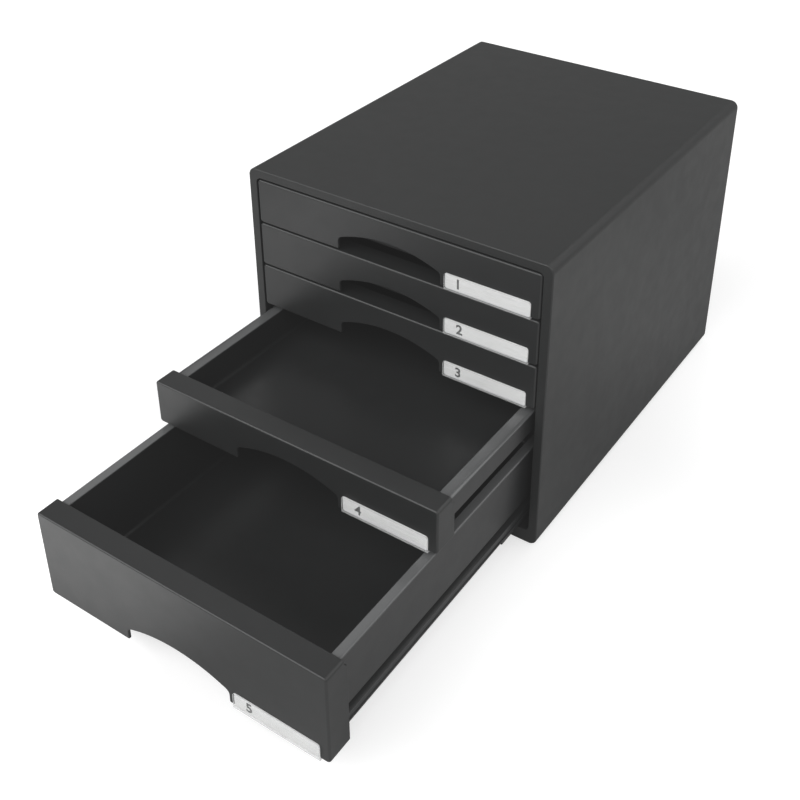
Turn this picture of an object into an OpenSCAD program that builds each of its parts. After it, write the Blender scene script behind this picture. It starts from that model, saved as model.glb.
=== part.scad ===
// Desk drawer cabinet: four shallow drawers above one deep drawer.
// Millimetres. X is across the cabinet, -Y is the side the drawers open to, +Z is up.
// Drawn with the fourth drawer partly open and the deep drawer well open.

/* [Casing] */
// Overall width of the casing
casing_w = 287; // [280:1:300]
// Depth of the casing, front edge to rear edge
casing_d = 363; // [355:1:380]
// Height of the rubber feet under the casing
foot_h = 2; // [1.5:0.5:4]
// Radius of the long outer edges
corner_r = 7; // [5:0.5:9]
// Width of the front edge at each side of the drawers
side_edge = 8; // [7.5:0.5:9]
// Height of the front edge above the drawers
top_edge = 7.8; // [6:0.2:10]
// Height of the front edge below the drawers
bottom_edge = 12.6; // [11:0.2:13]
// Wall of the casing behind its front edge
casing_wall = 3; // [2.5:0.5:3.5]

/* [Drawers] */
// Height of one shallow drawer place, the deep drawer takes two
pitch = 41; // [40:0.5:44]
// Gap between two drawer fronts
gap = 1.5; // [1.2:0.1:1.8]
// Gap between a drawer front and the casing at each side
side_gap = 0.9; // [0.8:0.1:1.5]
// Length of a drawer from its front face to its rear
drawer_len = 348; // [340:1:348]
// How far the fourth drawer stands open
open_4 = 135; // [0:5:280]
// How far the deep drawer stands open
open_5 = 262; // [0:2:280]

/* [Drawer fronts] */
// Depth of the flange along the top of a front
cap_d = 19; // [18.8:0.1:21]
// Depth of the flanges at the ends of a front
cap_end_d = 22; // [20:0.5:23]
// Thickness of the face of a front
skin = 2.4; // [2:0.1:3]
// Half the width of the finger cut-out
cut_hw = 49; // [40:1:50]
// Centre of the finger cut-out, from the middle of the front
cut_x = -2.5; // [-6:0.5:0]
// Height of the finger cut-out at its middle
cut_h = 20.5; // [18:0.5:24]
// Radius of the long arc of the finger cut-out
cut_r = 124; // [110:1:160]

/* [Labels] */
// Left end of the label holder, from the middle of the front
label_x = 51; // [49:1:55]
// Width of the label holder
label_w = 76; // [60:1:76]
// Height of the label holder above the lower edge of the front
label_h = 14; // [11:0.1:15]

/* [Hidden] */
$fn = 64;

// casing
hw = casing_w / 2;
mouth_x = hw - side_edge;
mouth_z0 = foot_h + bottom_edge;
stack_z = mouth_z0 + 0.8;
mouth_z1 = stack_z + 6 * pitch + 0.8;
casing_top = mouth_z1 + top_edge;
frame_d = 20;
inner_x = hw - casing_wall;
back_y = casing_d - 4;

// drawers, 1 at the top to 5 at the bottom
front_x = mouth_x - side_gap;
small_h = pitch - gap;
tall_h = 2 * pitch - gap;
function front_h(i) = i == 5 ? tall_h : small_h;
function base_z(i) = stack_z + gap / 2 + (i == 5 ? 0 : (6 - i) * pitch);
function open_of(i) = i == 4 ? open_4 : i == 5 ? open_5 : 0;

// fronts
flange_t = 2.2;
end_t = 2;
wall_y = cap_d - 2.2;

// trays: outer face of the side, inner face, and heights above the lower edge of the front
function side_x(i) = front_x - (i == 5 ? 3.8 : 2.6);
function bay_x(i) = front_x - (i == 5 ? 12 : 13.6);
function rim_h(i) = front_h(i) - (i == 5 ? 2.3 : 3.9);
function skirt_h(i) = i == 5 ? 25.1 : 17.4;
function floor_h(i) = i == 5 ? 9 : 6;
wall_t = 2;
tray_r = 6;
stop_y = 305.5;

// runners
panel_x = inner_x - 2;
shelf_t = 2.5;
runner_y0 = 24;
runner_y1 = drawer_len + 2;
run_gap = 0.4;
keep_gap = 0.6;

// labels
clip_t = 1;
card_t = 0.5;

// the middle of the whole outline stands at the origin, seen from above
front_y = (open_5 + clip_t + card_t - casing_d) / 2;

// ---- outlines ----

// rectangle with round corners
module round_rect(x0, z0, x1, z1, r) {
  translate([x0 + r, z0]) square([x1 - x0 - 2 * r, z1 - z0]);
  translate([x0, z0 + r]) square([x1 - x0, z1 - z0 - 2 * r]);
  for (x = [x0 + r, x1 - r], z = [z0 + r, z1 - r]) translate([x, z]) circle(r);
}

// an outline in X and Z given a depth from y0 to y1
module along_y(y0, y1) translate([0, y1, 0]) rotate([90, 0, 0]) linear_extrude(y1 - y0) children();

// block between two corners
module block(a, b) translate(a) cube(b - a);

// the same block on both sides of the middle
module both_sides(x0, y0, z0, x1, y1, z1) {
  block([x0, y0, z0], [x1, y1, z1]);
  block([-x1, y0, z0], [-x0, y1, z1]);
}

// outline seen from above, with round rear corners
module tray_plan(x, y0, y1, r) {
  translate([-x, y0]) square([2 * x, y1 - y0 - r]);
  translate([-x + r, y0]) square([2 * x - 2 * r, y1 - y0]);
  for (s = [-1, 1]) translate([s * (x - r), y1 - r]) circle(r);
}

function arc(cx, cz, r, a0, a1, n) = [for (k = [0:n]) let (a = a0 + (a1 - a0) * k / n) [cx + r * cos(a), cz + r * sin(a)]];

// finger cut-out: upright sides, rounded shoulders and one long arc
cut_rf = 4.5;
cut_cz = cut_h - cut_r;
cut_sx = cut_hw - cut_rf;
cut_sz = cut_cz + sqrt(pow(cut_r - cut_rf, 2) - cut_sx * cut_sx);
cut_a = atan2(cut_sz - cut_cz, cut_sx);
cut_outline = concat([[cut_hw, -5]], arc(cut_sx, cut_sz, cut_rf, 0, cut_a, 6),
  arc(0, cut_cz, cut_r, cut_a, 180 - cut_a, 28), arc(-cut_sx, cut_sz, cut_rf, 180 - cut_a, 180, 6), [[-cut_hw, -5]]);

// ---- casing ----

module casing() color([0.26, 0.265, 0.265]) translate([0, front_y, 0]) difference() {
  along_y(0, casing_d) round_rect(-hw, foot_h, hw, casing_top, corner_r);
  along_y(-1, frame_d + 1) round_rect(-mouth_x, mouth_z0, mouth_x, mouth_z1, 4.5);
  along_y(frame_d, casing_d - 4) round_rect(-inner_x, foot_h + casing_wall, inner_x, casing_top - casing_wall, 4);
  along_y(casing_d - 4.01, casing_d + 1) round_rect(-inner_x - 1, foot_h + casing_wall - 1, inner_x + 1, casing_top - casing_wall + 1, 5);
}

// closes the rear, set in a rebate
module back_panel() color([0.24, 0.245, 0.245]) translate([0, front_y, 0])
  along_y(back_y, back_y + 3) round_rect(-inner_x - 1, foot_h + casing_wall - 1, inner_x + 1, casing_top - casing_wall + 1, 5);

// runner panel for the right side: one shelf under each drawer side, one keeper above it
module runner_panel() {
  block([panel_x, frame_d, foot_h + casing_wall + 5], [inner_x, back_y - 2, casing_top - casing_wall - 5]);
  for (i = [1:5]) {
    z_shelf = base_z(i) + skirt_h(i) - run_gap;
    z_keep = base_z(i) + rim_h(i) + keep_gap;
    block([bay_x(i) + wall_t + 1, runner_y0, z_shelf - shelf_t], [panel_x, runner_y1, z_shelf]);
    block([side_x(i) - 5, runner_y0, z_keep], [panel_x, runner_y1, z_keep + 1.8]);
  }
}

module runner_right() color([0.22, 0.22, 0.225]) translate([0, front_y, 0]) runner_panel();

module runner_left() color([0.22, 0.22, 0.225]) translate([0, front_y, 0]) mirror([1, 0, 0]) runner_panel();

// four round rubber pads
module feet() color([0.12, 0.12, 0.12]) for (x = [-1, 1], y = [22, casing_d - 22])
  translate([x * (hw - 23), front_y + y, 0]) cylinder(h = foot_h, r = 8);

// ---- drawers ----

// places a piece of drawer i, drawn with its front face at y = 0 and its lower edge at z = 0
module at_drawer(i) translate([0, front_y - open_of(i), base_z(i)]) children();

// a drawer front: face, flanges along its top and ends, open below and behind
module drawer_front(i) {
  h = front_h(i);
  difference() {
    along_y(0, cap_end_d) round_rect(-front_x, 0, front_x, h, 2.6);
    along_y(skin, cap_end_d + 1) translate([-front_x + end_t, -5]) square([2 * (front_x - end_t), h - flange_t + 5]);
    block([-front_x + end_t, cap_d, -1], [front_x - end_t, cap_end_d + 1, h + 1]);
    along_y(-1, skin + 1) translate([cut_x, 0]) polygon(cut_outline);
  }
  // ribs that carry the face on the front wall of the tray
  for (x = [-104, -72, 70, 104])
    block([x - 1, skin, i == 5 ? 14 : 12], [x + 1, wall_y, h - flange_t]);
}

// a shallow tray: wide rim with a skirt that slides on the runner, and a deeper middle
module shallow_tray() {
  x = side_x(1);
  b = bay_x(1);
  rim = rim_h(1);
  difference() {
    union() {
      translate([0, 0, floor_h(1)]) linear_extrude(rim - floor_h(1)) tray_plan(b + wall_t, wall_y, drawer_len - 2, tray_r);
      translate([0, 0, skirt_h(1)]) linear_extrude(rim - skirt_h(1)) tray_plan(x, wall_y, drawer_len, tray_r + 2);
      // front wall, up to the flange of the front
      block([-b - wall_t, wall_y, floor_h(1)], [b + wall_t, wall_y + 2, small_h - flange_t]);
    }
    // the bay
    translate([0, 0, floor_h(1) + 2]) linear_extrude(60) tray_plan(b, wall_y + 2, drawer_len - 4, tray_r - 2);
    // hollow between the bay and the skirt, open below
    for (s = [-1, 1]) scale([s, 1, 1])
      block([b + wall_t, wall_y + 2, skirt_h(1) - 1], [x - wall_t, drawer_len - 10, rim - 2]);
  }
  // stops that meet the casing's front edge at full opening
  both_sides(x, stop_y, skirt_h(1) + 3, mouth_x + 1.5, stop_y + 6, rim - 3);
}

// the deep tray: its sides hang on the runner, which runs in a groove above the lower flange
module deep_tray() {
  top = side_x(5);
  x = top - 1.8;
  b = bay_x(5);
  rim = rim_h(5);
  difference() {
    union() {
      translate([0, 0, floor_h(5)]) linear_extrude(rim - floor_h(5)) tray_plan(b + wall_t, wall_y, drawer_len - 2, tray_r);
      // the sides lean in a little downwards
      intersection() {
        translate([0, 0, skirt_h(5)]) linear_extrude(rim - skirt_h(5)) tray_plan(top, wall_y, drawer_len, tray_r + 2);
        along_y(0, drawer_len + 1) polygon([[-x, skirt_h(5)], [x, skirt_h(5)], [top, rim], [-top, rim]]);
      }
      block([-b - wall_t, wall_y, floor_h(5)], [b + wall_t, wall_y + 2, tall_h - flange_t]);
    }
    translate([0, 0, floor_h(5) + 2]) linear_extrude(90) tray_plan(b, wall_y + 2, drawer_len - 4, tray_r - 2);
    for (s = [-1, 1]) scale([s, 1, 1])
      block([b + wall_t, wall_y + 2, skirt_h(5) - 1], [x - wall_t, drawer_len - 10, rim - 2]);
  }
  // lower flange: a bead, a shallow groove and a wider band, deeper towards the rear
  both_sides(b + wall_t, wall_y + 2, 7.5, x, drawer_len - 2, 9);
  both_sides(b + wall_t, wall_y + 2, 9, x - 0.8, drawer_len - 2, 12);
  both_sides(b + wall_t, wall_y + 2, 12, x, drawer_len - 2, 16.4);
  both_sides(b + wall_t, 231, 4.5, x, drawer_len - 2, 7.5);
  both_sides(x, stop_y, 36, mouth_x + 1.5, stop_y + 6, rim - 8);
}

// a clear clip that wraps the lower edge of the front
module label_holder() {
  x1 = label_x + label_w;
  along_y(-card_t - clip_t, -card_t) {
    translate([label_x, -1]) square([label_w, label_h - 1.5]);
    translate([label_x + 2.5, -1]) square([label_w - 5, label_h + 1]);
    for (x = [label_x + 2.5, x1 - 2.5]) translate([x, label_h - 2.5]) circle(2.5);
  }
  block([label_x, -card_t, -1], [x1, skin, 0]);
  block([label_x, skin, -1], [x1, skin + clip_t, 8]);
}

module label_card() along_y(-card_t, 0) round_rect(label_x + 0.5, 0.1, label_x + label_w - 0.5, label_h - 0.5, 2);

module drawer_1_tray() color([0.25, 0.25, 0.255]) at_drawer(1) shallow_tray();
module drawer_2_tray() color([0.25, 0.25, 0.255]) at_drawer(2) shallow_tray();
module drawer_3_tray() color([0.25, 0.25, 0.255]) at_drawer(3) shallow_tray();
module drawer_4_tray() color([0.25, 0.25, 0.255]) at_drawer(4) shallow_tray();
module drawer_5_tray() color([0.25, 0.25, 0.255]) at_drawer(5) deep_tray();

module drawer_1_front() color([0.28, 0.285, 0.29]) at_drawer(1) drawer_front(1);
module drawer_2_front() color([0.28, 0.285, 0.29]) at_drawer(2) drawer_front(2);
module drawer_3_front() color([0.28, 0.285, 0.29]) at_drawer(3) drawer_front(3);
module drawer_4_front() color([0.28, 0.285, 0.29]) at_drawer(4) drawer_front(4);
module drawer_5_front() color([0.28, 0.285, 0.29]) at_drawer(5) drawer_front(5);

module drawer_1_label_holder() color([0.85, 0.88, 0.9, 0.4]) at_drawer(1) label_holder();
module drawer_2_label_holder() color([0.85, 0.88, 0.9, 0.4]) at_drawer(2) label_holder();
module drawer_3_label_holder() color([0.85, 0.88, 0.9, 0.4]) at_drawer(3) label_holder();
module drawer_4_label_holder() color([0.85, 0.88, 0.9, 0.4]) at_drawer(4) label_holder();
module drawer_5_label_holder() color([0.85, 0.88, 0.9, 0.4]) at_drawer(5) label_holder();

module drawer_1_label_card() color([0.93, 0.93, 0.92]) at_drawer(1) label_card();
module drawer_2_label_card() color([0.93, 0.93, 0.92]) at_drawer(2) label_card();
module drawer_3_label_card() color([0.93, 0.93, 0.92]) at_drawer(3) label_card();
module drawer_4_label_card() color([0.93, 0.93, 0.92]) at_drawer(4) label_card();
module drawer_5_label_card() color([0.93, 0.93, 0.92]) at_drawer(5) label_card();

casing();
back_panel();
runner_left();
runner_right();
feet();
drawer_1_tray();
drawer_1_front();
drawer_1_label_holder();
drawer_1_label_card();
drawer_2_tray();
drawer_2_front();
drawer_2_label_holder();
drawer_2_label_card();
drawer_3_tray();
drawer_3_front();
drawer_3_label_holder();
drawer_3_label_card();
drawer_4_tray();
drawer_4_front();
drawer_4_label_holder();
drawer_4_label_card();
drawer_5_tray();
drawer_5_front();
drawer_5_label_holder();
drawer_5_label_card();
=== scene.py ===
import math

import bmesh
import bpy
from mathutils import Matrix, Vector

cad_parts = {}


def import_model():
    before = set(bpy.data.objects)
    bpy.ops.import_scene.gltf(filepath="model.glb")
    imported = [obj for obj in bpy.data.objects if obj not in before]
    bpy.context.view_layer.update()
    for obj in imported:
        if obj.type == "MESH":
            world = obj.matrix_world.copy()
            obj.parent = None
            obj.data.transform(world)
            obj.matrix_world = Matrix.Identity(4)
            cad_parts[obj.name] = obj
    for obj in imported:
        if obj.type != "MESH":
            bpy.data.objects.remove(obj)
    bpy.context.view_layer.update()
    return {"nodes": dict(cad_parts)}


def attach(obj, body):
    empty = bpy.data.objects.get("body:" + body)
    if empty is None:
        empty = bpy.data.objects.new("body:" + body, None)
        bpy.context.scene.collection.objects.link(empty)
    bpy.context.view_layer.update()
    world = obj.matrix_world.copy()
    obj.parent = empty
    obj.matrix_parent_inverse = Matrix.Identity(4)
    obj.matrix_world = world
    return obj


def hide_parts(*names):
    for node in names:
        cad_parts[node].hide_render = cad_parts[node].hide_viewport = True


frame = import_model()

MM = 0.001

# ---------------------------------------------------------------- sizes, millimetres
FRONT_Y = -49.75
CASING_D = 363.0
HW = 143.5
TOP = 270.0
BASE_Z = {1: 221.15, 2: 180.15, 3: 139.15, 4: 98.15, 5: 16.15}
OPEN = {1: 0.0, 2: 0.0, 3: 0.0, 4: 135.0, 5: 262.0}
FRONT_H = {1: 39.5, 2: 39.5, 3: 39.5, 4: 39.5, 5: 80.5}
FRONT_X = 134.6
LABEL_H = 14.0


# ---------------------------------------------------------------- mesh building
class Builder:
    """Collects closed shells from loops of points. Each point has a value for edge wear and painted edge glint, 1 on a
    rubbed edge, and a value for the painted highlight on a rim top.
    """

    def __init__(self):
        self.co, self.wear, self.rim, self.faces, self.mats = [], [], [], [], []

    def point(self, p, wear=0.0, rim=0.0):
        self.co.append(p)
        self.wear.append(wear)
        self.rim.append(rim)
        return len(self.co) - 1

    def ring(self, points, wear=0.0, rim=0.0):
        if not isinstance(wear, (list, tuple)):
            wear = [wear] * len(points)
        return [self.point(p, w, rim) for p, w in zip(points, wear)]

    def face(self, idx, mat=0):
        clean = [i for k, i in enumerate(idx) if i != idx[k - 1]]
        if len(set(clean)) >= 3:
            self.faces.append(clean)
            self.mats.append(mat)

    def strip(self, a, b, closed=True, mat=0):
        n = len(a)
        for k in range(n if closed else n - 1):
            j = (k + 1) % n
            self.face([a[k], a[j], b[j], b[k]], mat)

    def stack(self, rings, mat=0):
        for a, b in zip(rings, rings[1:]):
            self.strip(a, b, True, mat)

    def block(self, lo, hi, r=0.4, mat=0, seg=2):
        """Box with rounded edges, as its own closed shell."""
        bm = bmesh.new()
        bmesh.ops.create_cube(bm, size=1.0)
        for v in bm.verts:
            v.co = Vector(((lo[k] + hi[k]) / 2 + v.co[k] * (hi[k] - lo[k]) for k in range(3)))
        bmesh.ops.bevel(bm, geom=bm.edges[:], offset=r, segments=seg, profile=0.5, affect="EDGES")
        start = len(self.co)
        bm.verts.ensure_lookup_table()
        for v in bm.verts:
            near = sum(min(abs(v.co[k] - lo[k]), abs(v.co[k] - hi[k])) < r * 0.99 for k in range(3))
            self.point(tuple(v.co), 0.7 if near > 1 else 0.0)
        for f in bm.faces:
            self.face([start + v.index for v in f.verts], mat)
        bm.free()

    def make(self, name, materials, offset=(0.0, 0.0, 0.0), sharp=38.0, weighted=True):
        mesh = bpy.data.meshes.new(name)
        mesh.from_pydata([tuple((c[k] + offset[k]) * MM for k in range(3)) for c in self.co], [], self.faces)
        wear = mesh.attributes.new("wear", "FLOAT", "POINT")
        wear.data.foreach_set("value", [float(w) for w in self.wear])
        if any(self.rim):
            rim = mesh.attributes.new("rim", "FLOAT", "POINT")
            rim.data.foreach_set("value", [float(w) for w in self.rim])
        for m in materials:
            mesh.materials.append(m)
        for poly, m in zip(mesh.polygons, self.mats):
            poly.material_index = m
        bm = bmesh.new()
        bm.from_mesh(mesh)
        bmesh.ops.remove_doubles(bm, verts=bm.verts[:], dist=2e-6)
        bmesh.ops.dissolve_degenerate(bm, dist=1e-6, edges=bm.edges[:])
        bmesh.ops.recalc_face_normals(bm, faces=bm.faces[:])
        limit = math.radians(sharp)
        for e in bm.edges:
            e.smooth = len(e.link_faces) == 2 and e.calc_face_angle(0.0) < limit
        for f in bm.faces:
            f.smooth = True
        bm.to_mesh(mesh)
        bm.free()
        mesh.update()
        obj = bpy.data.objects.new(name, mesh)
        bpy.context.scene.collection.objects.link(obj)
        if weighted:
            m = obj.modifiers.new("weighted_normals", "WEIGHTED_NORMAL")
            m.mode = "FACE_AREA"
            m.weight = 50
            m.keep_sharp = True
        return obj


def round_steps(n):
    """Angles across a rounded edge, 0 to 90 degrees, with the wear value at each."""
    return [(math.pi / 2 * k / n, math.sin(math.pi * k / n) ** 0.7 if 0 < k < n else 0.0) for k in range(n + 1)]


def rect_loop(x, z0, z1, r, y, n=10):
    """Closed loop, a rectangle with round corners in X and Z at depth y."""
    pts = []
    r = max(r, 0.05)
    for cx, cz, a0 in ((x - r, z0 + r, -90), (x - r, z1 - r, 0), (-x + r, z1 - r, 90), (-x + r, z0 + r, 180)):
        for k in range(n + 1):
            a = math.radians(a0 + 90 * k / n)
            pts.append((cx + r * math.cos(a), y, cz + r * math.sin(a)))
    return pts


# ---------------------------------------------------------------- materials
def new_material(name):
    m = bpy.data.materials.new(name)
    m.use_nodes = True
    nt = m.node_tree
    nt.nodes.clear()
    out = nt.nodes.new("ShaderNodeOutputMaterial")
    bsdf = nt.nodes.new("ShaderNodeBsdfPrincipled")
    nt.links.new(bsdf.outputs["BSDF"], out.inputs["Surface"])
    return m, nt, bsdf


def node(nt, kind, **values):
    n = nt.nodes.new(kind)
    for k, v in values.items():
        if k.startswith("in_"):
            key = k[3:]
            n.inputs[int(key) if key.isdigit() else key.replace("_", " ")].default_value = v
        else:
            setattr(n, k, v)
    return n


def noise(nt, coord, scale, detail=3.0, rough=0.5):
    n = node(nt, "ShaderNodeTexNoise")
    n.inputs["Scale"].default_value = scale
    n.inputs["Detail"].default_value = detail
    n.inputs["Roughness"].default_value = rough
    nt.links.new(coord, n.inputs["Vector"])
    return n.outputs["Fac"]


def ramp(nt, value, lo, hi, out_lo, out_hi, smooth=False):
    n = node(nt, "ShaderNodeMapRange")
    if smooth:
        n.interpolation_type = "SMOOTHSTEP"
    nt.links.new(value, n.inputs["Value"])
    n.inputs["From Min"].default_value = lo
    n.inputs["From Max"].default_value = hi
    n.inputs["To Min"].default_value = out_lo
    n.inputs["To Max"].default_value = out_hi
    return n.outputs["Result"]


def maths(nt, op, a, b):
    n = node(nt, "ShaderNodeMath", operation=op)
    for k, v in enumerate((a, b)):
        if isinstance(v, (int, float)):
            n.inputs[k].default_value = v
        else:
            nt.links.new(v, n.inputs[k])
    return n.outputs[0]


def mix_colour(nt, fac, a, b):
    n = node(nt, "ShaderNodeMix", data_type="RGBA")
    for k, v in (("Factor", fac), ("A", a), ("B", b)):
        socket = next(s for s in n.inputs if s.name == k and s.enabled and (k == "Factor" or s.type == "RGBA"))
        if isinstance(v, (int, float)):
            socket.default_value = v
        elif isinstance(v, tuple):
            socket.default_value = (*v, 1.0)
        else:
            nt.links.new(v, socket)
    return next(s for s in n.outputs if s.type == "RGBA")


def moulded(name, base, rough, spec=0.5, rough_var=0.03, grain=0.3, grain_size=1500.0, rubbed=(0.055, 0.0565, 0.0565), wear_amount=0.4, rim=None, rim_rough=None):
    """Moulded polystyrene: slightly cloudy colour, fine eroded grain, light scuffs, edges rubbed lighter and smoother,
    and where a rim colour is given, rim tops painted paler as a painted highlight.
    """
    m, nt, bsdf = new_material(name)
    coord = node(nt, "ShaderNodeTexCoord").outputs["Object"]
    cloud = noise(nt, coord, 9.0, 3.0, 0.5)
    flow = noise(nt, coord, 60.0, 3.0, 0.55)
    fine = noise(nt, coord, grain_size, 2.0, 0.6)
    speck = noise(nt, coord, grain_size * 0.42, 1.0, 0.5)
    # scuffs, drawn out along the depth
    stretch = node(nt, "ShaderNodeMapping", vector_type="POINT")
    stretch.inputs["Scale"].default_value = (300.0, 24.0, 300.0)
    nt.links.new(coord, stretch.inputs["Vector"])
    scuff_noise = noise(nt, stretch.outputs["Vector"], 1.0, 5.0, 0.65)
    scuff = ramp(nt, scuff_noise, 0.62, 0.82, 0.0, 1.0, True)
    edge = node(nt, "ShaderNodeAttribute", attribute_name="wear").outputs["Fac"]
    patch = ramp(nt, noise(nt, coord, 45.0, 5.0, 0.6), 0.3, 0.7, 0.45, 1.0, True)
    worn_and_glint = maths(nt, "MULTIPLY", maths(nt, "MULTIPLY", edge, patch), wear_amount)
    tone = ramp(nt, maths(nt, "ADD", maths(nt, "MULTIPLY", cloud, 0.6), maths(nt, "MULTIPLY", flow, 0.4)), 0.35, 0.65, 0.0, 1.0)
    colour = mix_colour(nt, tone, tuple(c * 0.95 for c in base), tuple(c * 1.05 for c in base))
    colour = mix_colour(nt, maths(nt, "MULTIPLY", ramp(nt, speck, 0.5, 0.75, 0.0, 1.0), 0.3), colour, tuple(c * 1.3 for c in base))
    colour = mix_colour(nt, maths(nt, "MULTIPLY", scuff, 0.10), colour, tuple(min(1.0, c * 1.7) for c in base))
    if rim:
        # the top of the rim, painted paler as a painted highlight where it catches the light, and made smoother
        coarse = ramp(nt, noise(nt, coord, 520.0, 3.0, 0.6), 0.3, 0.7, 0.94, 1.0)
        top = maths(nt, "MULTIPLY", node(nt, "ShaderNodeAttribute", attribute_name="rim").outputs["Fac"], coarse)
        colour = mix_colour(nt, top, colour, rim)
        worn_and_glint = maths(nt, "MULTIPLY", worn_and_glint, maths(nt, "SUBTRACT", 1.0, top))
    colour = mix_colour(nt, worn_and_glint, colour, rubbed)
    nt.links.new(colour, bsdf.inputs["Base Color"])
    r = ramp(nt, flow, 0.3, 0.7, rough - rough_var, rough + rough_var)
    r = maths(nt, "SUBTRACT", r, maths(nt, "MULTIPLY", worn_and_glint, 0.08))
    r = maths(nt, "ADD", r, maths(nt, "MULTIPLY", scuff, 0.05))
    if rim:
        r = maths(nt, "SUBTRACT", r, maths(nt, "MULTIPLY", top, rough - rim_rough))
    nt.links.new(r, bsdf.inputs["Roughness"])
    bsdf.inputs["Specular IOR Level"].default_value = spec
    bsdf.inputs["IOR"].default_value = 1.5
    height = maths(nt, "ADD", maths(nt, "MULTIPLY", fine, 0.7), maths(nt, "MULTIPLY", speck, 0.5))
    bump = node(nt, "ShaderNodeBump")
    bump.inputs["Strength"].default_value = grain
    bump.inputs["Distance"].default_value = 0.00005
    nt.links.new(height, bump.inputs["Height"])
    nt.links.new(bump.outputs["Normal"], bsdf.inputs["Normal"])
    return m


def rubber(name):
    m, nt, bsdf = new_material(name)
    coord = node(nt, "ShaderNodeTexCoord").outputs["Object"]
    cloud = noise(nt, coord, 220.0, 4.0, 0.6)
    fine = noise(nt, coord, 2600.0, 2.0, 0.5)
    edge = node(nt, "ShaderNodeAttribute", attribute_name="wear").outputs["Fac"]
    colour = mix_colour(nt, ramp(nt, cloud, 0.35, 0.65, 0.0, 1.0), (0.016, 0.016, 0.016), (0.028, 0.027, 0.026))
    colour = mix_colour(nt, maths(nt, "MULTIPLY", edge, 0.4), colour, (0.06, 0.058, 0.055))
    nt.links.new(colour, bsdf.inputs["Base Color"])
    nt.links.new(ramp(nt, cloud, 0.3, 0.7, 0.7, 0.9), bsdf.inputs["Roughness"])
    bump = node(nt, "ShaderNodeBump")
    bump.inputs["Strength"].default_value = 0.4
    bump.inputs["Distance"].default_value = 0.0001
    nt.links.new(fine, bump.inputs["Height"])
    nt.links.new(bump.outputs["Normal"], bsdf.inputs["Normal"])
    return m


def paper(name):
    m, nt, bsdf = new_material(name)
    coord = node(nt, "ShaderNodeTexCoord").outputs["Object"]
    fibre_map = node(nt, "ShaderNodeMapping")
    fibre_map.inputs["Scale"].default_value = (700.0, 700.0, 2600.0)
    nt.links.new(coord, fibre_map.inputs["Vector"])
    fibre = noise(nt, fibre_map.outputs["Vector"], 1.0, 4.0, 0.6)
    cloud = noise(nt, coord, 120.0, 2.0, 0.5)
    both = maths(nt, "ADD", maths(nt, "MULTIPLY", fibre, 0.6), maths(nt, "MULTIPLY", cloud, 0.4))
    colour = mix_colour(nt, ramp(nt, both, 0.35, 0.65, 0.0, 1.0), (0.72, 0.721, 0.717), (0.79, 0.791, 0.787))
    nt.links.new(colour, bsdf.inputs["Base Color"])
    nt.links.new(ramp(nt, fibre, 0.3, 0.7, 0.55, 0.7), bsdf.inputs["Roughness"])
    bsdf.inputs["Specular IOR Level"].default_value = 0.3
    bump = node(nt, "ShaderNodeBump")
    bump.inputs["Strength"].default_value = 0.2
    bump.inputs["Distance"].default_value = 0.00004
    nt.links.new(fibre, bump.inputs["Height"])
    nt.links.new(bump.outputs["Normal"], bsdf.inputs["Normal"])
    return m


def ink(name):
    m, nt, bsdf = new_material(name)
    coord = node(nt, "ShaderNodeTexCoord").outputs["Object"]
    cloud = noise(nt, coord, 1800.0, 3.0, 0.6)
    colour = mix_colour(nt, ramp(nt, cloud, 0.3, 0.7, 0.0, 1.0), (0.012, 0.012, 0.013), (0.03, 0.03, 0.031))
    nt.links.new(colour, bsdf.inputs["Base Color"])
    nt.links.new(ramp(nt, cloud, 0.3, 0.7, 0.5, 0.65), bsdf.inputs["Roughness"])
    return m


def clear(name):
    """Clear sheet, faint drawn lines, and edges painted pale and less clear as a painted highlight of the light they
    gather.
    """
    m, nt, bsdf = new_material(name)
    coord = node(nt, "ShaderNodeTexCoord").outputs["Object"]
    line_map = node(nt, "ShaderNodeMapping")
    line_map.inputs["Scale"].default_value = (40.0, 900.0, 900.0)
    nt.links.new(coord, line_map.inputs["Vector"])
    lines = noise(nt, line_map.outputs["Vector"], 1.0, 3.0, 0.6)
    edge = node(nt, "ShaderNodeAttribute", attribute_name="wear").outputs["Fac"]
    colour = mix_colour(nt, ramp(nt, lines, 0.35, 0.65, 0.0, 1.0), (0.72, 0.73, 0.73), (0.82, 0.83, 0.83))
    nt.links.new(colour, bsdf.inputs["Base Color"])
    nt.links.new(ramp(nt, lines, 0.35, 0.65, 0.12, 0.24), bsdf.inputs["Roughness"])
    alpha = ramp(nt, lines, 0.4, 0.75, 0.05, 0.12)
    alpha = maths(nt, "ADD", alpha, maths(nt, "MULTIPLY", edge, 0.62))
    nt.links.new(alpha, bsdf.inputs["Alpha"])
    bump = node(nt, "ShaderNodeBump")
    bump.inputs["Strength"].default_value = 0.15
    bump.inputs["Distance"].default_value = 0.00005
    nt.links.new(lines, bump.inputs["Height"])
    nt.links.new(bump.outputs["Normal"], bsdf.inputs["Normal"])
    return m


mat_casing = moulded("casing_grain", (0.0160, 0.0168, 0.0167), 0.45, spec=0.40, wear_amount=0.25)
mat_front = moulded("front_grain", (0.0130, 0.0137, 0.0138), 0.40, spec=0.5, grain_size=1700.0, wear_amount=0.12)
# the tray's rim colour is a painted highlight on the rim tops
mat_tray = moulded("tray_satin", (0.0150, 0.0157, 0.0159), 0.34, spec=0.42, grain=0.2, wear_amount=0.3, rim=(0.105, 0.107, 0.1085), rim_rough=0.16)
mat_runner = moulded("runner_plain", (0.0140, 0.0142, 0.0144), 0.45, spec=0.4)
mat_back = moulded("back_grain", (0.0155, 0.0162, 0.0162), 0.5, spec=0.40, grain=0.4)
mat_foot = rubber("foot_rubber_matt")
mat_card = paper("card_stock")
mat_ink = ink("printed_ink")
mat_clear = clear("holder_clear")


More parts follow.
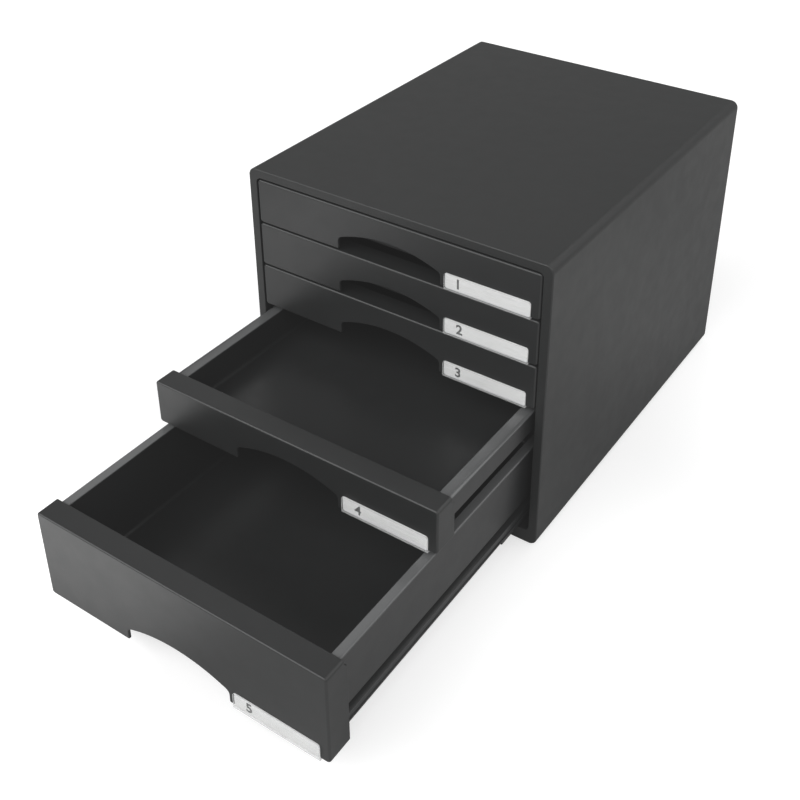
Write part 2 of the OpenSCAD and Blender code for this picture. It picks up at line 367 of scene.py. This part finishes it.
# ---------------------------------------------------------------- casing
def casing():
    b = Builder()
    rings = []
    n = 12

    def add(x, z0, z1, r, y, wear=0.0):
        rings.append(b.ring(rect_loop(x, z0, z1, r, FRONT_Y + y, n), wear))

    mx, mz0, mz1, mr = 135.5, 14.6, 262.2, 4.5
    ix, iz0, iz1, ir = 140.5, 5.0, 267.0, 4.0
    # mouth, from its inner edge to the front
    add(mx, mz0, mz1, mr, 20.0 - 0.4)
    e = 0.7
    for a, w in round_steps(3):
        g = e * (1 - math.cos(a))
        add(mx + g, mz0 - g, mz1 + g, mr + g, e * (1 - math.sin(a)), w)
    # outer front edge
    e = 1.1
    for a, w in round_steps(4):
        g = e * (1 - math.sin(a))
        add(HW - g, 2.0 + g, TOP - g, 7.0 - g, e * (1 - math.cos(a)), w)
    # rear edge
    e = 1.5
    for a, w in round_steps(4):
        g = e * (1 - math.cos(a))
        add(HW - g, 2.0 + g, TOP - g, 7.0 - g, CASING_D - e * (1 - math.sin(a)), w)
    # rebate for the rear panel
    add(141.5 + 0.3, 4.0 - 0.3, 268.0 + 0.3, 5.3, CASING_D, 0.3)
    add(141.5, 4.0, 268.0, 5.0, CASING_D - 0.3, 0.3)
    add(141.5, 4.0, 268.0, 5.0, CASING_D - 4.0)
    # inside, back to the mouth
    add(ix, iz0, iz1, ir, CASING_D - 4.0)
    add(ix, iz0, iz1, ir, 20.0 + 0.6)
    add(ix - 0.6, iz0 + 0.6, iz1 - 0.6, ir - 0.6, 20.0)
    add(mx + 0.4, mz0 - 0.4, mz1 + 0.4, mr + 0.4, 20.0)
    b.stack(rings)
    b.strip(rings[-1], rings[0])
    return b.make("casing_shell", [mat_casing])


def back_panel():
    b = Builder()
    rings = []
    n = 8

    def add(x, z0, z1, r, y, wear=0.0):
        rings.append(b.ring(rect_loop(x, z0, z1, r, FRONT_Y + y, n), wear))

    g = 0.25
    x, z0, z1, r = 141.5 - g, 4.0 + g, 268.0 - g, 5.0 - g
    add(x, z0, z1, r, 359.05)
    e = 0.6
    for a, w in round_steps(3):
        k = e * (1 - math.cos(a))
        add(x - k, z0 + k, z1 - k, r - k, 362.0 - e * (1 - math.sin(a)), w)
    # raised border, groove and field
    for inset, y, wear in ((7.0, 362.0, 0.0), (7.5, 361.75, 0.3), (7.9, 361.1, 0.0), (8.6, 360.9, 0.0), (10.4, 360.9, 0.0), (11.0, 361.1, 0.0), (11.4, 361.5, 0.3), (12.0, 361.6, 0.0)):
        add(x - inset, z0 + inset, z1 - inset, max(0.6, 9.0 - inset * 0.4), y, wear)
    b.stack(rings)
    b.face(rings[0])
    b.face(rings[-1])
    return b.make("back_cover", [mat_back])


def feet():
    b = Builder()
    n = 40
    for sx in (-1, 1):
        for y in (22.0, 341.0):
            cx, cy = sx * 120.5, FRONT_Y + y
            rings = []
            for r, z, w in ((7.7, 2.0, 0.0), (8.0, 1.8, 0.3), (8.0, 0.9, 0.0), (7.9, 0.5, 0.4), (7.6, 0.15, 0.9), (7.1, 0.0, 0.6), (4.6, 0.0, 0.4), (4.2, 0.15, 0.5), (3.9, 0.6, 0.0)):
                rings.append(b.ring([(cx + r * math.cos(2 * math.pi * k / n), cy + r * math.sin(2 * math.pi * k / n), z) for k in range(n)], w))
            b.stack(rings)
            b.face(rings[0])
            b.face(rings[-1])
    return b.make("rubber_feet", [mat_foot])


# ---------------------------------------------------------------- drawer fronts
CUT_X, CUT_HW, CUT_H, CUT_R, CUT_RF = -2.5, 49.0, 20.5, 124.0, 4.5
CUT_CZ = CUT_H - CUT_R
CUT_SX = CUT_HW - CUT_RF
CUT_SZ = CUT_CZ + math.sqrt((CUT_R - CUT_RF) ** 2 - CUT_SX ** 2)
CUT_A = math.degrees(math.atan2(CUT_SZ - CUT_CZ, CUT_SX))
CORNER = 2.6


def front_outline(h):
    """The outline of a front, as (x, z, normal x, normal z, edge radius, depth), in two runs: the lower edge with its cut-out, and the ends with the top."""
    low, high = [], []

    def arc(run, cx, cz, r, a0, a1, n, out, w, skip=False):
        for k in range(1 if skip else 0, n + 1):
            a = math.radians(a0 + (a1 - a0) * k / n)
            c, s = math.cos(a), math.sin(a)
            radius = w if not callable(w) else w(k / n)
            run.append([cx + r * c, cz + r * s, out * c, out * s, radius, 19.0])

    x0, r = FRONT_X, CORNER
    split = math.degrees(math.acos((x0 - 2.0 - (x0 - r)) / r))  # where the end flange stops
    top_w, end_w, low_w, cut_w = 1.5, 1.8, 1.1, 0.8
    # lower edge, left to right
    arc(low, -x0 + r, r, r, 180 + split, 270, 3, 1, lambda t: end_w + (low_w - end_w) * (0.6 + 0.4 * t))
    low.append([-90.0, 0.0, 0.0, -1.0, low_w, 19.0])
    rc = 1.1
    left, right = CUT_X - CUT_HW, CUT_X + CUT_HW
    arc(low, left - rc, rc, rc, 270, 360, 5, 1, lambda t: low_w + (cut_w - low_w) * t)
    arc(low, CUT_X - CUT_SX, CUT_SZ, CUT_RF, 180, 180 - CUT_A, 8, -1, cut_w)
    arc(low, CUT_X, CUT_CZ, CUT_R, 180 - CUT_A, CUT_A, 40, -1, cut_w, skip=True)
    arc(low, CUT_X + CUT_SX, CUT_SZ, CUT_RF, CUT_A, 0, 8, -1, cut_w, skip=True)
    arc(low, right + rc, rc, rc, 180, 270, 5, 1, lambda t: cut_w + (low_w - cut_w) * t)
    low.append([90.0, 0.0, 0.0, -1.0, low_w, 19.0])
    arc(low, x0 - r, r, r, 270, 360 - split, 3, 1, lambda t: low_w + (end_w - low_w) * 0.4 * t)
    # right end, top, left end
    arc(high, x0 - r, r, r, 360 - split, 360, 7, 1, lambda t: low_w + (end_w - low_w) * (0.4 + 0.6 * t))
    side = [(h - 7.5, 0), (h - 4.6, 1)]
    for z, _ in side:
        high.append([x0, z, 1.0, 0.0, end_w, 19.0])
    arc(high, x0 - r, h - r, r, 0, 90, 8, 1, lambda t: end_w + (top_w - end_w) * t)
    arc(high, -x0 + r, h - r, r, 90, 180, 8, 1, lambda t: top_w + (end_w - top_w) * t)
    for z, _ in reversed(side):
        high.append([-x0, z, -1.0, 0.0, end_w, 19.0])
    arc(high, -x0 + r, r, r, 180, 180 + split, 7, 1, lambda t: end_w + (low_w - end_w) * 0.6 * t)
    for p in high:
        p[5] = 22.0 if p[1] <= h - 7.5 else 19.0
    return low, high


def drawer_front(i):
    h = FRONT_H[i]
    b = Builder()
    low, high = front_outline(h)
    steps = round_steps(5)

    def at(p, inset, y, wear=0.0):
        return b.point((p[0] - p[2] * inset, y, p[1] - p[3] * inset), wear)

    def face_edge(p):
        return [at(p, p[4] * (1 - math.sin(a)), p[4] * (1 - math.cos(a)), w) for a, w in steps]

    low_cols, high_cols = [], []
    for p in low:
        col = face_edge(p)
        for inset, y, w in ((0.0, 2.1, 0.0), (0.1, 2.3, 0.6), (0.3, 2.4, 0.0)):
            col.append(at(p, inset, y, w))
        low_cols.append(col)
    for k, p in enumerate(high):
        if k == 0:
            col = low_cols[-1][: len(steps)]
        elif k == len(high) - 1:
            col = low_cols[0][: len(steps)]
        else:
            col = face_edge(p)
        d = p[5]
        up = max(0.0, p[3])
        t = 2.0 + 0.2 * up
        e = 0.55
        for inset, y, w in ((0.0, d - e, 0.0), (e * 0.13, d - e * 0.5, 0.7), (e * 0.5, d - e * 0.13, 0.9), (e, d, 0.0), (t - 0.4, d, 0.0), (t - 0.1, d - 0.1, 0.4), (t, d - 0.4, 0.0), (t, 2.4, 0.0)):
            col = col + [at(p, inset, y, w)]
        high_cols.append(col)

    def run(cols):
        for a, c in zip(cols, cols[1:]):
            for k in range(len(a) - 1):
                b.face([a[k], c[k], c[k + 1], a[k + 1]])

    run(low_cols)
    run(high_cols)
    # ends of the flange, where it stops at the lower corners
    n = len(steps)
    for lo_col, hi_col in ((low_cols[-1], high_cols[0]), (low_cols[0], high_cols[-1])):
        b.face(lo_col[n - 1:] + list(reversed(hi_col[n:])))
    # face and its inner side
    b.face([c[0] for c in low_cols] + [c[0] for c in high_cols[1:-1]])
    b.face([c[-1] for c in low_cols] + [c[-1] for c in high_cols])
    # ribs inside
    for x in (-104.0, -72.0, 70.0, 104.0):
        b.block((x - 1, 2.2, 14.0 if i == 5 else 12.0), (x + 1, 16.6, h - 2.1), 0.3)
    return b.make(f"drawer_{i}_face_cap", [mat_front], (0.0, FRONT_Y - OPEN[i], BASE_Z[i]))


# ---------------------------------------------------------------- trays
def tray_loop(xs, zs, x, zf, zr, yf, yr, rf, rr):
    """Closed loop seen from above, as points. xs and zs hold along the sides, x, zf and zr at the front and rear."""
    half = []
    nf, nr = 3, 8
    for k in range(nf + 1):
        a = math.radians(90 * k / nf)
        half.append((x - rf + rf * math.sin(a), yf + rf - rf * math.cos(a), zf))
    a0 = yf + rf
    t0 = max(18.3, a0 + 0.2)
    b0 = yr - rr
    t3 = min(338.5, b0 - 0.2)
    half.append((x, t0, zf))
    half.append((xs, t0 + 0.5, zs))
    for y in (90.0, 180.0, 270.0):
        half.append((xs, y, zs))
    half.append((xs, t3 - 0.5, zs))
    half.append((x, t3, zr))
    for k in range(nr + 1):
        a = math.radians(90 * k / nr)
        half.append((x - rr + rr * math.cos(a), b0 + rr * math.sin(a), zr))
    return half + [(-px, py, pz) for px, py, pz in reversed(half)]


def tray(i):
    b = Builder()
    rings = []

    def add(xs, zs, yr, rr, wear=0.0, x=None, zf=None, zr=None, yf=16.8, rf=0.8, rim=0.0):
        x = xs if x is None else x
        zf = zs if zf is None else zf
        zr = zs if zr is None else zr
        start = len(b.co)
        rings.append(b.ring(tray_loop(xs, zs, x, zf, zr, yf, yr, rf, rr), wear, rim))
        # the left rims are painted paler on the deep drawer and darker on the shallow ones, as painted light and shade
        for k in range(start, len(b.co)):
            if b.co[k][0] < 0:
                b.rim[k] *= 1.2 if i == 5 else 0.8

    h = FRONT_H[i]
    wall_top = h - 2.3
    inner_r, body_r, skirt_r = 4.0, 6.0, 8.0
    if i < 5:
        bay, side, low, body, top, skirt, floor = 121.0, 132.0, 132.0, 123.0, 35.6, 17.4, 8.0
    else:
        bay, side, low, body, top, skirt, floor = 122.6, 130.8, 129.0, 124.6, 78.2, 25.1, 11.0
    bottom = floor - 2.0
    # floor edge, inner wall and rim
    f = 3.2
    for a, w in round_steps(4):
        g = f * (1 - math.sin(a))
        add(bay - g, floor + f * (1 - math.cos(a)), 344.0 - g, inner_r - g + 0.05, yf=18.8 + g * 0.3, rf=0.6)
    # the rim values on this rounding start the painted highlight on the rim top
    e = 0.8
    for k, (a, w) in enumerate(round_steps(3)):
        g = e * (1 - math.cos(a))
        z = top - e * (1 - math.sin(a))
        zf = wall_top - 0.4 * (1 - math.sin(a))
        add(bay + g, z, 344.0 + g, inner_r + g, w, zf=zf, yf=18.8 - g * 0.6, rf=0.6, rim=(0.0, 0.3, 0.8, 1.0)[k])
    if i < 5:
        # wide rim with a shoulder that falls to the band; the rim values paint its flat top paler as a painted
        # highlight and the shoulder a little darker as painted shade, and the edge value on the ring at the flat's edge
        # paints a thin highlight line
        add(124.6, top, 345.0, 5.2, 0.0, zf=wall_top, yf=18.1, rim=1.0)
        add(128.4, top, 346.6, 6.8, 0.0, zf=wall_top, yf=17.9, rim=0.9)
        add(129.1, top - 0.04, 346.9, 7.0, 0.5, zf=wall_top, yf=17.7, rim=0.9)
        add(129.8, top - 0.2, 347.2, 7.2, 0.0, zf=wall_top, yf=17.5, rim=0.7)
        add(131.1, top - 0.62, 347.6, 7.6, 0.0, zf=wall_top, yf=17.3, rim=0.9)
        add(131.7, top - 0.95, 347.85, 7.85, 0.8, zf=wall_top - 0.05, yf=16.95, rim=0.9)
        add(side, top - 1.6, 348.0, 8.0, 0.0, zf=wall_top - 0.3, yf=16.8)
        # band and its lower edge
        add(side, skirt + 0.5, 348.0, skirt_r, 0.0)
        add(side - 0.12, skirt + 0.15, 347.9, skirt_r - 0.1, 0.7)
        add(side - 0.5, skirt, 347.6, skirt_r - 0.4, 0.3)
        add(side - 1.5, skirt, 347.0, skirt_r - 1.0, 0.0, zf=skirt - 0.04, zr=skirt)
    else:
        # the rim values paint the rim top and its rounded outer edge pale, a painted highlight
        e = 1.5
        for k, (a, w) in enumerate(round_steps(4)):
            g = e * (1 - math.sin(a))
            add(side - g, top - e * (1 - math.cos(a)), 348.0 - g, skirt_r - g, w, zf=wall_top - 0.3 * (1 - math.cos(a)), yf=16.8 + g * 0.3, rim=(1.0, 1.0, 1.0, 0.8, 0.0)[k])
        # side, drawn in a little downwards, and its soft lower edge
        add(low, skirt + 2.0, 348.0, skirt_r, 0.0)
        for a in (30, 60, 90):
            c, s = math.cos(math.radians(a)), math.sin(math.radians(a))
            add(low - 1.6 * (1 - c), skirt + 2.0 - 2.0 * s, 348.0 - 1.0 * (1 - c), skirt_r - 1.0 * (1 - c), 0.3 if a < 90 else 0.0, zf=skirt + 2.0 - 2.0 * s - 0.01, zr=skirt + 2.0 - 2.0 * s)
    # the hollow behind the skirt
    add(low - 2.0, skirt + 0.5, 346.8, skirt_r - 1.2, 0.0, zf=skirt - 0.08, zr=skirt)
    add(low - 2.0, top - 2.4, 346.5, skirt_r - 1.5, 0.0, zf=skirt - 0.12, zr=skirt)
    add(low - 2.4, top - 2.0, 346.3, skirt_r - 1.7, 0.0, zf=skirt - 0.16, zr=skirt)
    add(body, top - 2.0, 346.0, body_r, 0.0, zf=skirt - 0.2, zr=skirt)
    if i == 5:
        # flange low on each side: a band, a shallow groove and a bead
        zz = [17.4, 16.4, 16.1, 12.3, 12.05, 9.1, 8.85, 7.8, 7.5, 7.5]
        xx = [body, 128.6, 129.0, 129.0, 128.2, 128.2, 129.0, 129.0, 128.7, 125.2]
        ww = [0.0, 0.0, 0.6, 0.0, 0.3, 0.0, 0.5, 0.0, 0.4, 0.0]
        for k, (x, z, w) in enumerate(zip(xx, zz, ww)):
            q = 18.2 - k * 0.55
            add(x, z, 346.0, body_r, w, x=body, zf=q, zr=q)
        add(body, 8.1, 346.0, body_r, 0.0, x=body, zf=12.2, zr=12.2)
        f = 2.0
        for a, w in round_steps(3):
            g = f * (1 - math.cos(a))
            z = bottom + f * (1 - math.sin(a))
            add(body - g * 0.55 - 0.05, 8.6 + 0.4 * math.sin(a), 346.0 - g, body_r - g, 0.0, x=body - g, zf=z, zr=z, yf=16.8 + g * 0.3)
    else:
        f = 2.2
        for a, w in round_steps(4):
            g = f * (1 - math.cos(a))
            add(body - g, bottom + f * (1 - math.sin(a)), 346.0 - g, body_r - g, 0.0, yf=16.8 + g * 0.3)
    b.stack(rings)
    b.face(rings[0])
    b.face(rings[-1])
    # stops, and the deeper skid of the tall drawer
    for s in (-1, 1):
        lo, hi = (low - 0.3, 137.0)
        x0, x1 = (lo, hi) if s > 0 else (-hi, -lo)
        if i < 5:
            b.block((x0, 305.5, skirt + 3.0), (x1, 311.5, top - 3.0), 0.5)
        else:
            b.block((x0, 305.5, 36.0), (x1, 311.5, top - 8.0), 0.5)
            x0, x1 = (124.7, 129.0) if s > 0 else (-129.0, -124.7)
            b.block((x0, 231.0, 4.5), (x1, 345.9, 7.9), 0.4)
    return b.make(f"drawer_{i}_tray_body", [mat_tray], (0.0, FRONT_Y - OPEN[i], BASE_Z[i]))


# ---------------------------------------------------------------- labels
def label_holder(i):
    b = Builder()
    x0, x1 = 51.0, 127.0
    r = 2.5
    stations = []
    for k in range(7):
        a = math.radians(90 * k / 6)
        stations.append((x0 + r * (1 - math.cos(a)), LABEL_H - r + r * math.sin(a)))
    mirror = [(x0 + x1 - x, z) for x, z in reversed(stations)]
    rings = []
    for x, top in stations + [((x0 + x1) / 2, LABEL_H)] + mirror:
        pts = []
        # around the section: outer face up, over the top edge, down behind, round the hook
        pts += [(-1.5, -0.4, 0.2), (-1.5, top - 0.3, 0.0), (-1.38, top - 0.08, 0.9), (-1.0, top, 1.0), (-0.62, top - 0.08, 0.9), (-0.5, top - 0.3, 0.0)]
        pts += [(-0.5, 0.05, 0.0), (2.35, 0.0, 0.0), (2.4, 0.05, 0.0), (2.4, 7.7, 0.0), (2.5, 7.93, 0.8), (2.9, 8.0, 0.8), (3.3, 7.93, 0.8), (3.4, 7.7, 0.0)]
        pts += [(3.4, -0.4, 0.0), (3.22, -0.82, 0.8), (2.8, -1.0, 0.4), (-0.9, -1.0, 0.6), (-1.32, -0.82, 1.0)]
        # the third value of each point and the 0.55 at both ends paint the holder's edges pale and less clear, a
        # painted highlight
        rings.append(b.ring([(x, y, z) for y, z, _ in pts], [max(w, 0.55 if x in (x0, x1) else 0.0) for _, _, w in pts]))
    b.stack(rings)
    b.face(rings[0])
    b.face(rings[-1])
    return b.make(f"drawer_{i}_clear_holder", [mat_clear], (0.0, FRONT_Y - OPEN[i], BASE_Z[i]))


def label_card(i):
    b = Builder()
    rings = []

    def add(g, y, wear=0.0):
        x0, x1, z0, z1, r, n = 51.5 + g, 126.5 - g, 0.1 + g, LABEL_H - 0.5 - g, 2.0 - g, 6
        pts = []
        for cx, cz, a0 in ((x1 - r, z0 + r, -90), (x1 - r, z1 - r, 0), (x0 + r, z1 - r, 90), (x0 + r, z0 + r, 180)):
            for k in range(n + 1):
                a = math.radians(a0 + 90 * k / n)
                pts.append((cx + r * math.cos(a), y, cz + r * math.sin(a)))
        rings.append(b.ring(pts, wear))

    add(0.05, -0.02)
    add(0.0, -0.08)
    add(0.0, -0.30)
    add(0.06, -0.36, 0.4)
    b.stack(rings)
    b.face(rings[0])
    b.face(rings[-1])
    # the printed number
    curve = bpy.data.curves.new(f"number_{i}", "FONT")
    curve.body = str(i)
    curve.size = 12.0
    curve.extrude = 0.03
    curve.offset = 0.22 if i == 4 else 0.34
    curve.resolution_u = 6
    text = bpy.data.objects.new(f"number_{i}", curve)
    bpy.context.scene.collection.objects.link(text)
    bpy.context.view_layer.update()
    mesh = bpy.data.meshes.new_from_object(text.evaluated_get(bpy.context.evaluated_depsgraph_get()))
    xs = [v.co.x for v in mesh.vertices]
    zs = [v.co.y for v in mesh.vertices]
    dx, dz = 62.3 - min(xs), 6.7 - (min(zs) + max(zs)) / 2
    start = len(b.co)
    for v in mesh.vertices:
        b.point((v.co.x + dx, -0.37 - v.co.z, v.co.y + dz))
    for f in mesh.polygons:
        b.face([start + k for k in f.vertices], 1)
    bpy.data.objects.remove(text)
    bpy.data.curves.remove(curve)
    bpy.data.meshes.remove(mesh)
    return b.make(f"drawer_{i}_number_card", [mat_card, mat_ink], (0.0, FRONT_Y - OPEN[i], BASE_Z[i]), weighted=False)


# ---------------------------------------------------------------- assemble
def place(piece, body, node_name):
    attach(piece, body)
    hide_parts(node_name)


place(casing(), "cabinet", "casing")
place(back_panel(), "cabinet", "back_panel")
place(feet(), "cabinet", "feet")
for side in ("left", "right"):
    obj = frame["nodes"][f"runner_{side}"]
    obj.data.materials.clear()
    obj.data.materials.append(mat_runner)
for d in range(1, 6):
    body = f"drawer_{d}"
    place(tray(d), body, f"{body}_tray")
    place(drawer_front(d), body, f"{body}_front")
    place(label_holder(d), body, f"{body}_label_holder")
    place(label_card(d), body, f"{body}_label_card")


# ---------------------------------------------------------------- floor, light, camera
LIGHT = {
    "tent": 0.03, "zenith": 0.1, "spark": 3.2, "strip": 0.8, "low_back": 0.31, "back": 0.1, "back_right": 1.6, "right": 0.78,
    "front_right": 2.1, "front_left": 3.8, "left": 0.1,
    "floor": 0.0, "pool_1": 1.62, "pool_2": 0.0, "pool_3": 1.0, "pool_4": 0.0, "pool_5": 0.1, "pool_6": 0.26, "pool_7": 0.6,
}
# soft boxes in the tent: azimuth from straight behind towards the right, elevation, and the angles between which each fades out
LOBES = {
    "zenith": (0.0, 90.0, 8.0, 42.0),
    "spark": (10.0, 47.0, 3.0, 13.0),
    "strip": (-46.0, 46.0, 4.0, 17.0),
    "low_back": (-32.0, 20.0, 6.0, 34.0),
    "back": (5.0, 40.0, 6.0, 30.0),
    "back_right": (50.0, 32.0, 8.0, 32.0),
    "right": (95.0, 30.0, 8.0, 36.0),
    "front_right": (150.0, 38.0, 8.0, 36.0),
    "front_left": (-145.0, 38.0, 8.0, 36.0),
    "left": (-95.0, 35.0, 8.0, 34.0),
}
POOLS = {
    "pool_1": ((-0.33, -0.40), 0.02, 0.24),
    "pool_2": ((-0.23, -0.42), 0.02, 0.16),
    "pool_3": ((-0.11, -0.40), 0.02, 0.13),
    "pool_4": ((0.04, -0.40), 0.02, 0.14),
    "pool_5": ((0.30, -0.08), 0.04, 0.24),
    "pool_6": ((0.36, 0.32), 0.04, 0.30),
    "pool_7": ((-0.62, 0.05), 0.05, 0.36),
}


def floor(light):
    m, nt, bsdf = new_material("pale_floor")
    coord = node(nt, "ShaderNodeTexCoord").outputs["Object"]
    cloud = noise(nt, coord, 3.0, 3.0, 0.5)
    nt.links.new(mix_colour(nt, ramp(nt, cloud, 0.3, 0.7, 0.0, 1.0), (0.51, 0.51, 0.51), (0.53, 0.53, 0.53)), bsdf.inputs["Base Color"])
    bsdf.inputs["Roughness"].default_value = 0.9
    bsdf.inputs["Specular IOR Level"].default_value = 0.1
    # a table lit softly from below, brighter in front on the left
    glow = node(nt, "ShaderNodeValue").outputs[0]
    glow.default_value = light["floor"]
    for key, ((x, y), r0, r1) in POOLS.items():
        away = node(nt, "ShaderNodeVectorMath", operation="DISTANCE")
        nt.links.new(coord, away.inputs[0])
        away.inputs[1].default_value = (x, y, 0.0)
        glow = maths(nt, "ADD", glow, maths(nt, "MULTIPLY", ramp(nt, away.outputs["Value"], r0, r1, 1.0, 0.0, True), light[key]))
    # the table itself shows nearly white
    seen = maths(nt, "MULTIPLY", node(nt, "ShaderNodeLightPath").outputs["Is Camera Ray"], 0.60)
    glow = maths(nt, "ADD", glow, seen)
    bsdf.inputs["Emission Color"].default_value = (1.0, 1.0, 1.0, 1.0)
    nt.links.new(glow, bsdf.inputs["Emission Strength"])
    mesh = bpy.data.meshes.new("floor")
    s = 30.0
    mesh.from_pydata([(-s, -s, -0.0002), (s, -s, -0.0002), (s, s, -0.0002), (-s, s, -0.0002)], [], [(0, 1, 2, 3)])
    mesh.materials.append(m)
    obj = bpy.data.objects.new("floor", mesh)
    bpy.context.scene.collection.objects.link(obj)
    return obj


def world(light):
    w = bpy.data.worlds.new("studio")
    bpy.context.scene.world = w
    w.use_nodes = True
    nt = w.node_tree
    nt.nodes.clear()
    out = nt.nodes.new("ShaderNodeOutputWorld")
    direction = node(nt, "ShaderNodeTexCoord").outputs["Generated"]
    # a dim tent with soft boxes: overhead, low behind on both sides, in front on the left, and at the right
    total = node(nt, "ShaderNodeValue").outputs[0]
    total.default_value = light["tent"]
    for key, (azimuth, elevation, a0, a1) in LOBES.items():
        az, el = math.radians(azimuth), math.radians(elevation)
        lobe = node(nt, "ShaderNodeVectorMath", operation="DOT_PRODUCT")
        nt.links.new(direction, lobe.inputs[0])
        lobe.inputs[1].default_value = (math.sin(az) * math.cos(el), math.cos(az) * math.cos(el), math.sin(el))
        spread = ramp(nt, lobe.outputs["Value"], math.cos(math.radians(a1)), math.cos(math.radians(a0)), 0.0, 1.0, True)
        total = maths(nt, "ADD", total, maths(nt, "MULTIPLY", spread, light[key]))
    tent = node(nt, "ShaderNodeBackground")
    tent.inputs["Color"].default_value = (1.0, 1.0, 1.0, 1.0)
    nt.links.new(total, tent.inputs["Strength"])
    white = node(nt, "ShaderNodeBackground")
    white.inputs["Color"].default_value = (1.0, 1.0, 1.0, 1.0)
    white.inputs["Strength"].default_value = 1.0
    path = node(nt, "ShaderNodeLightPath").outputs["Is Camera Ray"]
    mix = node(nt, "ShaderNodeMixShader")
    nt.links.new(path, mix.inputs[0])
    nt.links.new(tent.outputs[0], mix.inputs[1])
    nt.links.new(white.outputs[0], mix.inputs[2])
    nt.links.new(mix.outputs[0], out.inputs["Surface"])


def camera():
    f, yaw, pitch, roll = 1181.4956, 33.1202, 29.2174, 0.5807
    tx, ty, tz = -93.1101, 156.7678, 1171.2143
    cx, cy = 435.0, 225.0
    yw, pt, rl = math.radians(yaw), math.radians(pitch), math.radians(roll)
    back = Vector((math.sin(yw) * math.cos(pt), -math.cos(yw) * math.cos(pt), math.sin(pt)))
    right = (-back).cross(Vector((0, 0, 1))).normalized()
    up = right.cross(-back)
    r2 = right * math.cos(rl) + up * math.sin(rl)
    u2 = up * math.cos(rl) - right * math.sin(rl)
    eye = Vector((tx, ty, 135.0)) + back * tz
    data = bpy.data.cameras.new("camera")
    data.sensor_fit = "HORIZONTAL"
    data.sensor_width = 36.0
    data.lens = 36.0 * f / 800.0
    data.shift_x = (400.0 - cx) / 800.0
    data.shift_y = (cy - 400.0) / 800.0
    data.clip_start = 0.01
    data.clip_end = 100.0
    obj = bpy.data.objects.new("camera", data)
    bpy.context.scene.collection.objects.link(obj)
    m = Matrix((r2, u2, back)).transposed().to_4x4()
    m.translation = eye * MM
    obj.matrix_world = m
    bpy.context.scene.camera = obj


floor(LIGHT)
world(LIGHT)
camera()

scene = bpy.context.scene
scene.view_settings.view_transform = "Standard"
scene.view_settings.look = "None"
# a little stray light in the lens lifts the deepest blacks
scene.view_settings.use_curve_mapping = True
scene.view_settings.curve_mapping.black_level = (-0.0125, -0.0125, -0.0125)
scene.view_settings.curve_mapping.white_level = (1.0, 1.0, 1.0)
scene.view_settings.curve_mapping.update()
scene.cycles.use_denoising = True
